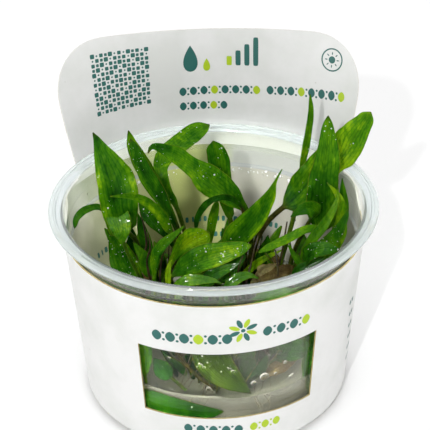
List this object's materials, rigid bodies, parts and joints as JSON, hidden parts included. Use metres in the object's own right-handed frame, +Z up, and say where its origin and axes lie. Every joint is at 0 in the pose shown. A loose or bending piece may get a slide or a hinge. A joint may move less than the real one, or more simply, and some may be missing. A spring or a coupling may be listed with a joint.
{
  "type": "cryptocoryne wendtii plant in growing cup",
  "caption": "Young aquarium plant with upright and arching lance-shaped leaves, growing in gel in a clear tapered cup with a windowed card sleeve and a tall rounded tab.",
  "frame": {"origin": "centre of the cup's flat base, where it rests", "axes": "+Z up, -Y the front with the sleeve's window, +Y the back with the tall tab, +X to the right seen from the front"},
  "size_m": [0.1005, 0.1024, 0.0974],
  "materials": {
    "cup_plastic": "clear, glossy moulded plastic, slightly bluish at the rim",
    "card": "matt white card with green printed ornament",
    "gel": "clear wet gel",
    "crown": "dark brown, wet rootstock",
    "leaf": "glossy green leaf, bright to dark green, with darker veins",
    "dead_leaf": "dull brown wilted leaf"
  },
  "bodies": {
    "root": {"cup": "cup_plastic", "sleeve": "card", "gel": "gel", "crown_left": "crown", "crown_middle": "crown", "crown_centre": "crown", "crown_right": "crown", "crown_front": "crown", "leaf_left_broad": "leaf", "leaf_left_thin_arch": "leaf", "leaf_left_low": "leaf", "leaf_left_lance": "leaf", "leaf_front_glossy": "leaf", "leaf_left_bright": "leaf", "leaf_left_thin_dark": "leaf", "leaf_back_arched": "leaf", "leaf_left_tall_back": "leaf", "leaf_left_tall_dark": "leaf", "leaf_left_mid_dark": "leaf", "leaf_left_arch": "leaf", "leaf_centre_front": "leaf", "leaf_low_narrow": "leaf", "leaf_centre_small": "leaf", "leaf_centre_curled": "leaf", "leaf_centre_round": "leaf", "leaf_centre_thin_arch": "leaf", "leaf_right_round": "leaf", "leaf_back_blade": "leaf", "leaf_right_tall": "leaf", "leaf_right_wide": "leaf", "leaf_right_edge": "leaf", "leaf_right_curl": "leaf", "leaf_right_low": "leaf", "leaf_right_lowest": "leaf", "leaf_right_bright": "leaf", "leaf_right_small": "leaf", "leaf_window_hanging": "leaf", "leaf_window_right": "leaf", "leaf_front_under": "leaf", "leaf_front_wet": "leaf", "leaf_window_sunk": "leaf", "leaf_window_small": "leaf", "leaf_window_stalk": "leaf", "dead_leaf_left": "dead_leaf", "dead_leaf_back": "dead_leaf", "dead_leaf_window": "dead_leaf"}
  },
  "joints": []
}
